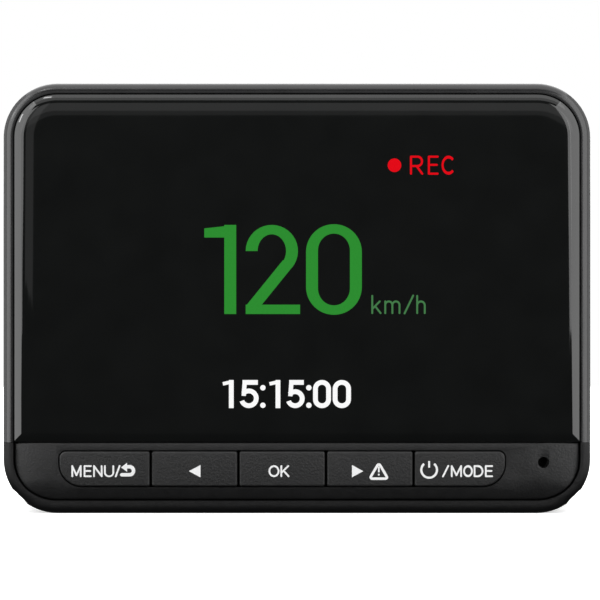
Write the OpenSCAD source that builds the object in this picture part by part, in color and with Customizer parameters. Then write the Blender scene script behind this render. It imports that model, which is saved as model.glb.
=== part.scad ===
// Windscreen radar detector with a road camera, screen side towards the driver.
// All sizes are millimetres. The finished part stands on Z = 0 with its screen facing -Y.

/* [Body] */
// Width of the casing
body_w = 84; // [82:0.5:102]
// Height of the casing
body_h = 61.5; // [60:0.5:75]
// Depth of the casing, from the screen cover to the road-side face
body_d = 34; // [34:0.5:42]
// Radius of the four corners, seen from the driver's seat
corner_r = 7.7; // [7:0.1:9.5]
// Wall thickness of the road-side shell
wall = 1.8; // [1.5:0.05:2.2]
// Radius that rounds the shell into its road-side face
nose_r = 5; // [4:0.1:6]
// Depth at which the display frame meets the road-side shell
split_f = 7; // [6.8:0.1:7.6]
// Air gap left between pieces that are laid into each other
lay_gap = 0.15; // [0.1:0.01:0.2]

/* [Display side] */
// Width of the frame's rim round the screen cover
rim_w = 1.5; // [1.3:0.05:1.8]
// How far the rim's crown lies behind the screen cover's face
rim_drop = 0.4; // [0.2:0.05:0.6]
// Radius of the rim's outer edge
rim_r = 1; // [0.6:0.05:1.2]
// Thickness of the clear screen cover
cover_t = 1.5; // [1.2:0.1:1.8]
// Width of the screen cover's polished bevel
bevel_w = 1.25; // [0.8:0.05:1.5]
// Depth of that bevel at the cover's edge
bevel_d = 0.6; // [0.4:0.05:0.8]
// Width of the lit part of the screen
screen_w = 66.6; // [60:0.1:67]
// Height of the lit part of the screen
screen_h = 38.4; // [34:0.1:38.5]
// Sideways offset of the screen from the casing's middle
screen_x = -1.7; // [-2:0.1:0]
// How far the screen's middle lies under the cover's middle
screen_drop = 2; // [1.6:0.1:2]

/* [Keys] */
// Height of the panel that holds the keys, from the casing's underside
panel_h = 10.1; // [10:0.1:12]
// Thickness of the key panel
panel_t = 1.5; // [1.2:0.1:1.8]
// Width of one of the three middle keys
key_w = 12.5; // [10.4:0.1:13]
// Width of the first and the last key
end_key_w = 13.2; // [11:0.1:13.2]
// Height of the keys
key_h = 5.3; // [4.6:0.1:5.6]
// Sideways offset of the row of keys from the casing's middle
key_row_x = -2.1; // [-2.4:0.1:0]
// How far a key travels when it is pressed
key_travel = 0.4; // [0.3:0.02:0.5]
// Radius of the microphone's hole in the key panel
mic_r = 0.8; // [0.6:0.05:1]

/* [Road side] */
// Distance of the camera's axis from the casing's middle
camera_x = 19; // [18:0.5:21]
// How far the camera's ring stands out of the road-side face
ring_proud = 4; // [3:0.1:5]
// Radius of the camera's ring
ring_r = 13; // [12.5:0.1:14]
// Distance of the radar horn's axis from the casing's middle
horn_x = -17; // [-19:0.5:-17]
// Width of the radar horn's mouth
horn_w = 32; // [26:0.5:32]
// Height of the radar horn's mouth
horn_h = 20; // [16:0.5:22]
// Width of the laser sensor's window
laser_w = 24; // [18:0.5:26]
// Height of the laser sensor's window
laser_h = 8; // [7:0.5:9]
// Radius of the loudspeaker
speaker_r = 10; // [8:0.5:10]

/* [Windscreen dock] */
// Width of the slot between the dock's lips
dock_w = 18; // [15:0.5:20]
// Width that each lip reaches over the dock's floor
dock_lip = 2.2; // [1.5:0.1:2.5]
// Depth of the dock under the casing's top
dock_h = 5; // [4.6:0.1:5.4]
// Length of the dock, back from the road-side face
dock_l = 20; // [16:0.5:21]

/* [Hidden] */
$fn = 64;
over = 1;          // how far a cutting shape runs past what it cuts
weld = 0.2;        // how far joined shapes of one piece run into each other
play = 0.05;       // play between a piece and the seat that it stands in
skin = 0.01;       // thickness of the sheets that a hull is spanned between

// Depths behind the screen cover's face
total_d = body_d + ring_proud;
tape_t = 0.2;
plate_f = cover_t + tape_t;
plate_t = 1.4;
panel_f = 0.5;
panel_back = panel_f + panel_t;
key_face_f = 0.2;
flange_f = panel_back + play;
flange_t = 0.8;
low_plate_f = flange_f + flange_t + key_travel + 0.15;
low_plate_t = 1.3;
low_plate_back = low_plate_f + low_plate_t;
lcd_f = plate_f + 0.1;
lcd_glass_t = 1.5;
backlight_t = 2.3;
lcd_back = lcd_f + lcd_glass_t + backlight_t;
foam_t = 2.4;
board_f = max(lcd_back + foam_t, low_plate_back + 3.3);
board_t = 1.2;
board_back = board_f + board_t;
boss_end = board_back + 2.8;
road_in = body_d - wall;

// Heights above the casing's underside
edge_in = rim_w + lay_gap;
lip_out = rim_w + 0.1;
lip_in = max(wall, lip_out) + 0.7;
seam_y = panel_h + play;
web_t = 0.85;
cover_y0 = panel_h + 0.2;
cover_y1 = body_h - edge_in;
screen_y = (cover_y0 + cover_y1) / 2 - screen_drop;
lcd_side = 3;
lcd_foot = 2.7;
lcd_head = 2.2;
lcd_x0 = screen_x - screen_w / 2 - lcd_side;
lcd_x1 = screen_x + screen_w / 2 + lcd_side;
lcd_y0 = screen_y - screen_h / 2 - lcd_foot;
lcd_y1 = screen_y + screen_h / 2 + lcd_head;
key_y = 6.4;
key_r_low = 3.4;
key_r_top = 1.1;
key_row_w = 2 * end_key_w + 3 * key_w;
key_row_x0 = key_row_x - key_row_w / 2;
key_slit = 0.3;
mic_x = body_w / 2 - 6.8;
mic_y = 7.3;
mic_body_r = 2;
mic_body_t = 1.7;
boot_r = 2.6;
road_y = body_h - 23.5;
low_y = 14.8;
side_y = 27;

// Screws, their bosses and the board's posts
boss_r = 2.2;
post_w = 5.2;
head_r = 1.9;
head_t = 1.3;
shank_r = 1;
shank_l = 7.5;
head_f = boss_end + 2.05;
pilot_end = head_f - shank_l - 0.3;
case_spots = [
  [-(body_w / 2 - 9.2), 4.2], [body_w / 2 - 12.2, 4.2],
  [-(body_w / 2 - 9), body_h - 4.3], [body_w / 2 - 9, body_h - 4.3]
];
support_r = 1.7;
board_spots = [
  [key_left(1), key_y], [key_left(4), key_y], [-12, body_h - 4.6], [12, body_h - 4.6]
];
board_shank_r = 0.8;
board_shank_l = 2.6;

// Keys and switches
stem_r = 1.2;
switch_w = 4;
switch_h = 1.6;
plunger_r = 1;
plunger_out = 0.8;
plunger_in = 0.7;
plunger_f = board_f - switch_h - plunger_out;

// Memory card and its socket, in the left wall
card_l = 15;
card_w = 11;
card_t = 1;
card_push = 0.8;
card_sunk = 0.8;
card_f = board_back + 0.45;
card_x0 = -(body_w / 2 - card_sunk);
socket_x0 = -(body_w / 2 - wall - 0.6);

// Power and data socket, in the right wall
usb_w = 7.7;
usb_h = 3.9;
usb_l = 9.2;
usb_x1 = body_w / 2 - 0.8;

// Camera, measured back from the road-side face
neck_r = ring_r - 2.1;
glass_r = 8;
barrel_r = 6.9;
thread_r = 5.9;
camera_board_f = body_d - 19;
camera_board_w = 20;
small_board_t = 1;

// Radar, laser and loudspeaker
horn_l = 14;
horn_wall = 1.2;
horn_f1 = road_in - 0.4;
horn_f0 = horn_f1 - horn_l;
radar_board_t = 1;
radar_board_w = horn_w + 2;
radar_board_h = horn_h + 6;
radar_x = horn_x;
laser_x = horn_x;
shroud_r = 4.4;
lens_r = 3.9;
laser_board_f = body_d - 14;
gasket_t = 0.8;
speaker_x = 20;
speaker_f1 = road_in - gasket_t;
basket_deep = 4;

// Satellite antenna and dock, under the casing's top
gps_w = 14;
gps_t = 4;
gps_x = -(body_w / 2 - 9) + post_w / 2 + 1.1 + gps_w / 2;
gps_f0 = 13;
dock_floor = 1.5;
dock_y = body_h - dock_h;
dock_f0 = body_d - dock_l;
lip_t = 1.6;

// The left edge of key i; key_left(5) is the right edge of the last one.
function key_left(i) = key_row_x0 + (i == 0 ? 0 : end_key_w + (i - 1) * key_w + (i == 5 ? end_key_w - key_w : 0));
function key_mid(i) = (key_left(i) + key_left(i + 1)) / 2;

// ---- Shared shapes. They lie on their back: x to the right, y up the screen, depth f as -z. ----

// Stands a shape up, with the screen facing -Y and the part's middle at Y = 0.
module stand() {
  translate([0, -total_d / 2, 0]) rotate([90, 0, 0]) children();
}

// A 2D outline, drawn in x and y, given thickness from depth f0 to depth f1.
module slab(f0, f1) {
  translate([0, 0, -f1]) linear_extrude(f1 - f0) children();
}

// A rod along the depth.
module rod(x, y, r, f0, f1) {
  translate([x, y, -f1]) cylinder(r = r, h = f1 - f0);
}

// A box between two corners in x, y and depth.
module block(x0, y0, f0, x1, y1, f1) {
  translate([x0, y0, -f1]) cube([x1 - x0, y1 - y0, f1 - f0]);
}

// A rectangle with its own radius at each corner: bottom left, bottom right, top right, top left.
module outline(x0, y0, x1, y1, r) {
  polygon([
    [x0 + r[0], y0], [x1 - r[1], y0], [x1, y0 + r[1]], [x1, y1 - r[2]],
    [x1 - r[2], y1], [x0 + r[3], y1], [x0, y1 - r[3]], [x0, y0 + r[0]]
  ]);
  translate([x0 + r[0], y0 + r[0]]) quarter(r[0], -1, -1);
  translate([x1 - r[1], y0 + r[1]]) quarter(r[1], 1, -1);
  translate([x1 - r[2], y1 - r[2]]) quarter(r[2], 1, 1);
  translate([x0 + r[3], y1 - r[3]]) quarter(r[3], -1, 1);
}

// The casing's outline, drawn in by inset.
module casing_outline(inset) {
  r = corner_r - inset;
  outline(-body_w / 2 + inset, inset, body_w / 2 - inset, body_h - inset, [r, r, r, r]);
}

// A quarter of a disc, in the quadrant that sx and sy point to.
module quarter(r, sx, sy) {
  intersection() {
    circle(r);
    translate([sx > 0 ? 0 : -r, sy > 0 ? 0 : -r]) square(r);
  }
}

// The cross-section of the casing's border: straight, with a rounding at either end.
module border(r, f0, f1, near_r, far_r) {
  translate([0, -(f1 - far_r)]) square([r, f1 - f0 - near_r - far_r]);
  if (far_r > 0) {
    translate([0, -f1]) square([r - far_r, far_r]);
    translate([r - far_r, -(f1 - far_r)]) quarter(far_r, 1, -1);
  }
  if (near_r > 0) {
    translate([0, -(f0 + near_r)]) square([r - near_r, near_r]);
    translate([r - near_r, -(f0 + near_r)]) quarter(near_r, 1, 1);
  }
}

// A solid with the casing's outline, drawn in by inset, from depth f0 to f1, with its edges rounded.
module casing_block(inset, f0, f1, near_r, far_r) {
  r = corner_r - inset;
  half_w = body_w / 2 - inset - r;
  half_h = body_h / 2 - inset - r;
  translate([0, body_h / 2, 0]) {
    translate([-half_w, -half_h, -f1]) cube([2 * half_w, 2 * half_h, f1 - f0]);
    for (turn = [0, 1]) {
      mirror([turn, 0, 0]) translate([half_w, half_h, 0]) rotate([90, 0, 0])
        linear_extrude(2 * half_h) border(r, f0, f1, near_r, far_r);
      mirror([0, turn, 0]) translate([-half_w, half_h, 0]) rotate([0, 0, 90]) rotate([90, 0, 0])
        linear_extrude(2 * half_w) border(r, f0, f1, near_r, far_r);
      for (flip = [0, 1])
        mirror([turn, 0, 0]) mirror([0, flip, 0]) translate([half_w, half_h, 0])
          rotate_extrude(angle = 90) border(r, f0, f1, near_r, far_r);
    }
  }
}

// A cross-head screw along the depth, its head towards the road.
module screw(x, y, f, r_head, t_head, r_shank, l_shank) {
  across = 0.25;
  along = r_head * 0.6;
  bottom = f + t_head * 0.4;
  difference() {
    union() {
      rod(x, y, r_head, f, f + t_head);
      rod(x, y, r_shank, f - l_shank, f + weld);
    }
    block(x - along, y - across, bottom, x + along, y + across, f + t_head + over);
    block(x - across, y - along, bottom, x + across, y + along, f + t_head + over);
  }
}

// ---- Casing ----

// The road-side half of the casing, with its square screw posts, dock, grille, vents and openings.
module front_shell() {
  color("#202122") stand() {
    difference() {
      casing_block(0, split_f, body_d, 0, nose_r);
      difference() {
        casing_block(wall, split_f - over, road_in, 0, nose_r - wall);
        for (s = case_spots) shell_post(s);
        block(-(dock_w / 2 + dock_lip + dock_floor), dock_y - dock_floor, dock_f0 - dock_floor,
          dock_w / 2 + dock_lip + dock_floor, body_h, body_d);
        for (sx = [-1, 1], sy = [-1, 1]) {
          camera_stub(sx, sy);
          radar_stub(sx, sy);
        }
      }
      for (s = case_spots) {
        rod(s[0], s[1], shank_r + 0.15, boss_end - over, head_f + over);
        rod(s[0], s[1], head_r + 0.2, head_f, body_d + over);
      }
      dock_cut();
      contact_bars(over);
      rod(camera_x, road_y, neck_r + lay_gap, road_in - over, body_d + over);
      slab(road_in - over, body_d + over) laser_outline(lay_gap);
      for (i = [-3:3]) grille_slot(i);
      for (i = [-4:4]) radome_groove(i);
      for (i = [0:4], side = [-1, 1]) side_vent(i, side);
      card_slot();
      usb_opening();
    }
    shell_lip();
  }
}

// The square post in the shell that a case screw goes through.
module shell_post(s) {
  half = post_w / 2;
  block(s[0] - half, s[1] - half, boss_end + play, s[0] + half, s[1] + half, body_d);
}

// The stubs that carry the camera's and the radar's board, at the corner that sx and sy point to.
module camera_stub(sx, sy) {
  r = 1.2;
  reach = camera_board_w / 2 - r;
  rod(camera_x + sx * reach, road_y + sy * reach, r, camera_board_f + small_board_t, body_d);
}
module radar_stub(sx, sy) {
  x = radar_x + sx * (radar_board_w / 2 - 2);
  y = road_y + sy * (radar_board_h / 2 - 1.4);
  rod(x, y, 1.1, horn_f0, body_d);
}

// The lip that the shell pushes into the display frame.
module shell_lip() {
  reach = 1.6;
  near = split_f - reach;
  far = split_f + reach;
  difference() {
    slab(near, far) casing_outline(lip_out);
    slab(near - over, far + over) casing_outline(lip_in);
    for (s = case_spots) rod(s[0], s[1], boss_r + 0.3, near - over, far + over);
  }
}

// The dock's slot, and the wider space under its lips.
module dock_cut() {
  block(-dock_w / 2, dock_y, dock_f0, dock_w / 2, body_h + over, body_d + over);
  block(-(dock_w / 2 + dock_lip), dock_y, dock_f0, dock_w / 2 + dock_lip, body_h - lip_t, body_d + over);
}

// One upright slot of the loudspeaker's round grille.
module grille_slot(i) {
  pitch = 2.2;
  slot_w = 1.2;
  x = speaker_x + i * pitch - slot_w / 2;
  half = sqrt(pow(speaker_r - 2, 2) - pow(i * pitch, 2));
  block(x, low_y - half, road_in - over, x + slot_w, low_y + half, body_d + over);
}

// One of the shallow grooves across the wall in front of the radar horn.
module radome_groove(i) {
  pitch = 2.2;
  groove_w = 0.9;
  deep = 0.5;
  y = road_y + i * pitch - groove_w / 2;
  half = horn_w / 2 - 1;
  block(horn_x - half, y, body_d - deep, horn_x + half, y + groove_w, body_d + over);
}

// One cooling slot, in the left wall (side -1) or the right one.
module side_vent(i, side) {
  first_f = 17;
  pitch = 2.4;
  slot_w = 1.1;
  f = first_f + pitch * i;
  mirror([side < 0 ? 1 : 0, 0, 0])
    block(body_w / 2 - wall - over, road_y - 4, f, body_w / 2 + over, road_y + 8, f + slot_w);
}

// The memory card's slot, with a hollow for a fingertip round it.
module card_slot() {
  dish_r = 5;
  dish_deep = 1;
  side_gap = 0.4;
  face_gap = 0.3;
  half = card_w / 2 + side_gap;
  block(-body_w / 2 - over, side_y - half, card_f - face_gap,
    -body_w / 2 + wall + over, side_y + half, card_f + card_t + face_gap);
  translate([-body_w / 2 - dish_r + dish_deep, side_y, -(card_f + card_t / 2)]) sphere(dish_r);
}

// The power socket's opening in the right wall.
module usb_opening() {
  gap = 0.3;
  half = usb_w / 2 + gap;
  block(body_w / 2 - wall - over, side_y - half, board_back - gap,
    body_w / 2 + over, side_y + half, board_back + usb_h + gap);
}

// The display side of the casing: rim, the plates behind the cover and the keys, bosses and posts.
module whole_frame() {
  inner_w = body_w - 2 * (rim_w - weld);
  rib_w = 1.1;
  difference() {
    union() {
      difference() {
        casing_block(0, rim_drop, split_f, rim_r, 0);
        slab(-over, split_f + over) casing_outline(rim_w);
      }
      slab(plate_f, plate_f + plate_t) above(seam_y) casing_outline(rim_w - weld);
      block(-inner_w / 2, seam_y, plate_f, inner_w / 2, seam_y + web_t, low_plate_back);
      slab(low_plate_f, low_plate_back) below(seam_y + weld) casing_outline(rim_w - weld);
      slab(panel_back, low_plate_f + weld) below(seam_y) difference() {
        casing_outline(rim_w - weld);
        casing_outline(rim_w + rib_w);
      }
      for (s = case_spots) rod(s[0], s[1], boss_r, plate_end(s) - weld, boss_end);
      for (s = board_spots) rod(s[0], s[1], support_r, plate_end(s) - weld, board_f);
    }
    slab(plate_f - over, plate_f + plate_t + over) lcd_outline(0.2);
    for (i = [0:4]) rod(key_mid(i), key_y, stem_r + 0.2, low_plate_f - over, low_plate_back + over);
    rod(mic_x, mic_y, boot_r + 0.1, panel_back - over, low_plate_back + over);
    for (s = case_spots) rod(s[0], s[1], shank_r, pilot_end, boss_end + over);
    for (s = board_spots) rod(s[0], s[1], board_shank_r, board_f - board_shank_l - 0.3, board_f + over);
  }
}

// Where the plate that a boss stands on ends.
function plate_end(s) = s[1] > seam_y ? plate_f + plate_t : low_plate_back;

// The polished frame round the screen cover, down to the seam.
module display_frame() {
  color("#161718") stand() intersection() {
    whole_frame();
    block(-body_w, seam_y, -over, body_w, 2 * body_h, total_d);
  }
}

// The matt frame round the key panel, under the seam.
module key_frame() {
  color("#1f2021") stand() intersection() {
    whole_frame();
    block(-body_w, -over, -over, body_w, seam_y, total_d);
  }
}

// The part of a 2D shape above or below a height.
module above(y) {
  intersection() {
    children();
    translate([-body_w, y]) square([2 * body_w, 2 * body_h]);
  }
}
module below(y) {
  intersection() {
    children();
    translate([-body_w, y - 2 * body_h]) square([2 * body_w, 2 * body_h]);
  }
}

// The four screws that hold the casing's halves together.
module case_screws() {
  color("#8a8d90") stand()
    for (s = case_spots) screw(s[0], s[1], head_f, head_r, head_t, shank_r, shank_l);
}

// ---- Screen ----

// The outline of the screen cover, drawn in by inset along its top and sides, and by foot along its bottom.
module cover_outline(inset, foot) {
  above(cover_y0 + foot) casing_outline(edge_in + inset);
}

// The screen module's outline, with a gap round it.
module lcd_outline(gap) {
  translate([lcd_x0 - gap, lcd_y0 - gap]) square([lcd_x1 - lcd_x0 + 2 * gap, lcd_y1 - lcd_y0 + 2 * gap]);
}

// The clear cover over the screen, with a polished bevel round its edge.
module screen_cover() {
  color("#0b0c0d") stand() {
    hull() {
      slab(bevel_d, bevel_d + skin) cover_outline(0, 0);
      slab(0, skin) cover_outline(bevel_w, 0.5);
    }
    slab(bevel_d + skin / 2, cover_t) cover_outline(0, 0);
  }
}

// The adhesive tape that holds the cover on the frame.
module cover_tape() {
  color("#2a2a2a") stand() slab(cover_t, plate_f) difference() {
    cover_outline(0.5, 0.3);
    lcd_outline(0.2);
  }
}

module lcd_glass() {
  color("#101312") stand() slab(lcd_f, lcd_f + lcd_glass_t) lcd_outline(0);
}

// The backlight, short at its foot to let the flexible cable pass.
module lcd_backlight() {
  color("#c9ccd0") stand() slab(lcd_f + lcd_glass_t, lcd_back)
    translate([lcd_x0 + 0.3, lcd_y0 + 1.5]) square([lcd_x1 - lcd_x0 - 0.6, lcd_y1 - lcd_y0 - 1.8]);
}

// Two foam strips that press the screen forwards from the board.
module lcd_foam() {
  color("#3a3a3c") stand() slab(lcd_back, board_f) for (side = [-1, 1])
    translate([screen_x + side * 26 - 4, screen_y - 14]) square([8, 28]);
}

// The flexible cable from the glass, round the backlight's foot, to its connector.
module lcd_flex() {
  t = 0.2;
  flex_w = 20;
  back = lcd_back + 0.3;
  color("#c07a22") stand() translate([screen_x + flex_w / 2, 0, 0]) rotate([0, -90, 0]) linear_extrude(flex_w)
    polygon([
      [-(lcd_f + lcd_glass_t), lcd_y0 + 0.2], [-(back + t), lcd_y0 + 0.2], [-(back + t), lcd_y0 + 9],
      [-back, lcd_y0 + 9], [-back, lcd_y0 + 0.2 + t], [-(lcd_f + lcd_glass_t + t), lcd_y0 + 0.2 + t],
      [-(lcd_f + lcd_glass_t + t), lcd_y0 + 1.3], [-(lcd_f + lcd_glass_t), lcd_y0 + 1.3]
    ]);
}

module lcd_connector() {
  color("#e8e4d8") stand() difference() {
    block(screen_x - 11.5, lcd_y0 + 7.5, lcd_back + 0.15, screen_x + 11.5, lcd_y0 + 11.5, board_f);
    block(screen_x - 10.1, lcd_y0 + 7, lcd_back + 0.25, screen_x + 10.1, lcd_y0 + 9.1, lcd_back + 0.6);
  }
}

// ---- Keys ----

// The outline of the whole row of keys, drawn in by inset.
module key_row_outline(inset) {
  outline(key_row_x0 + inset, key_y - key_h / 2 + inset, key_left(5) - inset, key_y + key_h / 2 - inset,
    [key_r_low - inset, key_r_low - inset, key_r_top - inset, key_r_top - inset]);
}

// The panel under the screen cover, with one opening for the row of keys and a hole for the microphone.
module key_panel() {
  drop = 0.7;
  color("#2c2d2e") stand() difference() {
    union() {
      hull() {
        slab(panel_f + drop, panel_f + drop + skin) panel_outline(0);
        slab(panel_f, panel_f + skin) panel_outline(drop);
      }
      slab(panel_f + drop + skin / 2, panel_back) panel_outline(0);
    }
    slab(-over, panel_back + over) key_row_outline(0);
    rod(mic_x, mic_y, mic_r, -over, panel_back + over);
  }
}

// The key panel's outline: inset draws in its sides and its underside, and leaves its straight top edge.
module panel_outline(inset) {
  below(panel_h) casing_outline(edge_in + inset);
}

// Key i: the cap, the flange that keeps it in its panel, and the stem that reaches its switch.
module key(i) {
  x0 = key_left(i) + (i == 0 ? 0 : key_slit / 2);
  x1 = key_left(i + 1) - (i == 4 ? 0 : key_slit / 2);
  color("#333435") stand() {
    slab(key_face_f, flange_f + weld) intersection() {
      key_row_outline(lay_gap);
      outline(x0, 0, x1, 2 * key_y, [0.2, 0.2, 0.2, 0.2]);
    }
    block(x0 + 0.2, key_y - key_h / 2 - 0.6, flange_f, x1 - 0.2, key_y + key_h / 2 + 0.6, flange_f + flange_t);
    rod(key_mid(i), key_y, stem_r, flange_f + weld, plunger_f);
  }
}

// The plunger of switch i, which the key's stem rests on.
module plunger(i) {
  color("#d9d4c4") stand() rod(key_mid(i), key_y, plunger_r, plunger_f, board_f - switch_h + plunger_in);
}

// The five switches' bodies, each with the bore that its plunger slides in.
module key_switches() {
  half = switch_w / 2;
  top = board_f - switch_h;
  color("#b9bcc0") stand() for (i = [0:4]) difference() {
    block(key_mid(i) - half, key_y - half, top, key_mid(i) + half, key_y + half, board_f);
    rod(key_mid(i), key_y, plunger_r + 0.1, top - over, top + plunger_in + key_travel + 0.1);
  }
}

// ---- Microphone ----

module microphone() {
  color("#9fa2a6") stand() rod(mic_x, mic_y, mic_body_r, board_f - mic_body_t, board_f);
}

// The rubber boot that leads the sound from the hole to the microphone.
module microphone_boot() {
  color("#151515") stand() difference() {
    rod(mic_x, mic_y, boot_r, panel_back, board_f - 0.3);
    rod(mic_x, mic_y, 0.7, panel_back - over, board_f);
    rod(mic_x, mic_y, mic_body_r, board_f - mic_body_t, board_f);
  }
}

// ---- Main board ----

module main_board() {
  color("#1c5a34") stand() difference() {
    slab(board_f, board_back) casing_outline(lip_in + 0.4);
    for (s = case_spots) rod(s[0], s[1], boss_r + 0.5, board_f - over, board_back + over);
    for (s = board_spots) rod(s[0], s[1], board_shank_r + 0.1, board_f - over, board_back + over);
  }
}

module board_screws() {
  color("#8a8d90") stand()
    for (s = board_spots) screw(s[0], s[1], board_back, 1.5, 0.8, board_shank_r, board_shank_l + board_t);
}

chip_x = 8;
chip_w = 14;
chip_t = 1.2;
pad_t = 0.5;
sink_w = 20;
sink_t = 3.4;

// A square block, w wide, over the processor's middle.
module chip_block(w, f0, f1) {
  block(chip_x - w / 2, side_y - w / 2, f0, chip_x + w / 2, side_y + w / 2, f1);
}

module processor() {
  color("#1b1b1d") stand() chip_block(chip_w, board_back, board_back + chip_t);
}

module thermal_pad() {
  f = board_back + chip_t;
  color("#7fa7c8") stand() chip_block(chip_w, f, f + pad_t);
}

module heat_sink() {
  f = board_back + chip_t + pad_t;
  fins = 7;
  fin_t = 1;
  step = (sink_w - fin_t) / (fins - 1);
  color("#aeb3b8") stand() {
    chip_block(sink_w, f, f + fin_t);
    for (i = [0:fins - 1]) {
      x = chip_x - sink_w / 2 + i * step;
      block(x, side_y - sink_w / 2, f + fin_t - weld, x + fin_t, side_y + sink_w / 2, f + sink_t);
    }
  }
}

// Two memory chips above the processor.
module memory_chips() {
  color("#1b1b1d") stand() for (i = [-1, 1])
    block(chip_x + i * 6 - 5, side_y + 11.5, board_back, chip_x + i * 6 + 5, side_y + 19, board_back + 1);
}

// Two capacitors that keep the camera running while it saves its last file.
module supercapacitors() {
  r = 4;
  color("#2d3e66") stand() for (i = [0, 1])
    translate([-24, 11.2 + i * 8.2, -(board_back + 0.3 + r)]) rotate([0, 90, 0]) cylinder(r = r, h = 20);
}

module card_socket() {
  cavity = card_l + card_push + 0.2;
  half = card_w / 2 + 0.1;
  color("#b4b8bc") stand() difference() {
    block(socket_x0, side_y - 7.3, board_back, card_x0 + cavity + 0.5, side_y + 7.3, board_back + 1.9);
    block(socket_x0 - over, side_y - half, card_f - play, card_x0 + cavity, side_y + half, card_f + card_t + play);
  }
}

// The memory card, latched in its socket, with the step in one edge and a raised finger lip.
module memory_card() {
  y0 = side_y - card_w / 2;
  color("#151617") stand() {
    slab(card_f + 0.15, card_f + card_t - 0.15) polygon([
      [card_x0, y0], [card_x0 + card_l, y0], [card_x0 + card_l, y0 + card_w - 1.4],
      [card_x0 + 6.6, y0 + card_w - 1.4], [card_x0 + 5.4, y0 + card_w], [card_x0, y0 + card_w]
    ]);
    block(card_x0, y0, card_f, card_x0 + 1.2, y0 + card_w, card_f + card_t);
  }
}

// The outline of the power socket's metal shell, drawn in by inset: a rectangle with its lower corners cut.
module usb_outline(inset) {
  w = usb_w / 2 - inset;
  f0 = board_back + inset;
  f1 = board_back + usb_h - inset;
  polygon([[-f0, -w], [-f0, w], [-(f1 - 1), w], [-f1, w - 0.9], [-f1, -(w - 0.9)], [-(f1 - 1), -w]]);
}

// The socket's outline, drawn in by inset and drawn out to the right from x.
module usb_tube(x, inset) {
  translate([x, side_y, 0]) rotate([0, 90, 0]) mirror([1, 0, 0]) linear_extrude(usb_l) usb_outline(inset);
}

module usb_socket() {
  color("#c4c7ca") stand() {
    difference() {
      usb_tube(usb_x1 - usb_l, 0);
      usb_tube(usb_x1 - usb_l + 1, 0.4);
    }
    block(usb_x1 - usb_l + 1 - weld, side_y - 2, board_back + 1.6, usb_x1 - 1.5, side_y + 2, board_back + 2.4);
  }
}

// ---- Camera ----

// The ring round the lens, which is glued into the shell.
module camera_ring() {
  back = wall + 1.2;
  seat = 0.8;
  step = 0.8;
  color("#0e0f10") stand() translate([camera_x, road_y, -body_d]) mirror([0, 0, 1]) difference() {
    union() {
      cylinder(r = ring_r, h = ring_proud - step);
      translate([0, 0, ring_proud - step - weld]) cylinder(r = ring_r - step, h = step + weld);
      translate([0, 0, -back]) cylinder(r = neck_r, h = back + weld);
    }
    translate([0, 0, -back - over]) cylinder(r = barrel_r + 0.2, h = back + over + ring_proud + over);
    translate([0, 0, -seat]) cylinder(r = glass_r + play, h = seat + ring_proud + over);
    translate([0, 0, seat]) cylinder(r1 = glass_r + play, r2 = ring_r - 2.2, h = ring_proud - seat + skin);
  }
}

module camera_glass() {
  color("#26303a") stand() rod(camera_x, road_y, glass_r, body_d - 0.8, body_d + 0.4);
}

// The lens barrel: a wide front, and a thread that screws into its holder.
module lens_barrel() {
  front = body_d - 1;
  shoulder = body_d - 8;
  back = body_d - 15;
  color("#18191a") stand() difference() {
    union() {
      rod(camera_x, road_y, barrel_r, shoulder, front);
      rod(camera_x, road_y, thread_r, back, shoulder + weld);
    }
    rod(camera_x, road_y, 4.6, back - over, front + over);
    rod(camera_x, road_y, 5.6, body_d - 5, front + over);
  }
}

// Three glass elements, domed towards the road.
module lens_elements() {
  color("#8fb3c9") stand() {
    lens(5.5, body_d - 5, 1.2, 2.2);
    lens(4.5, body_d - 9, 1, 1.2);
    lens(4.5, body_d - 13, 1, 1.2);
  }
}

// A lens of radius r on the camera's axis: a disc at depth f, with a dome over it.
module lens(r, f, rim_t, dome) {
  ball = (r * r + dome * dome) / (2 * dome);
  translate([camera_x, road_y, -f]) mirror([0, 0, 1]) intersection() {
    cylinder(r = r, h = rim_t + dome);
    translate([0, 0, rim_t + dome - ball]) sphere(ball);
  }
}

module lens_holder() {
  base_f = camera_board_f + small_board_t;
  color("#141516") stand() difference() {
    union() {
      block(camera_x - 7.6, road_y - 7.6, base_f, camera_x + 7.6, road_y + 7.6, base_f + 3);
      rod(camera_x, road_y, 7.4, base_f + 3 - weld, body_d - 8);
    }
    rod(camera_x, road_y, thread_r + play, base_f - over, body_d);
  }
}

module image_sensor() {
  f = camera_board_f + small_board_t;
  color("#23303a") stand() block(camera_x - 3.6, road_y - 3.2, f, camera_x + 3.6, road_y + 3.2, f + 1);
}

module camera_board() {
  half = camera_board_w / 2;
  f = camera_board_f;
  color("#1c5a34") stand()
    block(camera_x - half, road_y - half, f, camera_x + half, road_y + half, f + small_board_t);
}

// The camera's flexible cable, down to the main board.
module camera_flex() {
  t = 0.2;
  y0 = road_y + camera_board_w / 2 - 0.8;
  color("#c07a22") stand() translate([camera_x + 5, 0, 0]) rotate([0, -90, 0]) linear_extrude(10) polygon([
    [-camera_board_f, y0 - 2], [-camera_board_f, y0], [-(board_back + t), y0], [-(board_back + t), y0 + 3],
    [-board_back, y0 + 3], [-board_back, y0 - t], [-(camera_board_f - t), y0 - t], [-(camera_board_f - t), y0 - 2]
  ]);
}

// ---- Radar ----

// A box across the horn's axis, a skin thick, w wide and h high, at depth f.
module horn_section(w, h, f) {
  block(horn_x - w / 2, road_y - h / 2, f, horn_x + w / 2, road_y + h / 2, f + skin);
}

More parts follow.
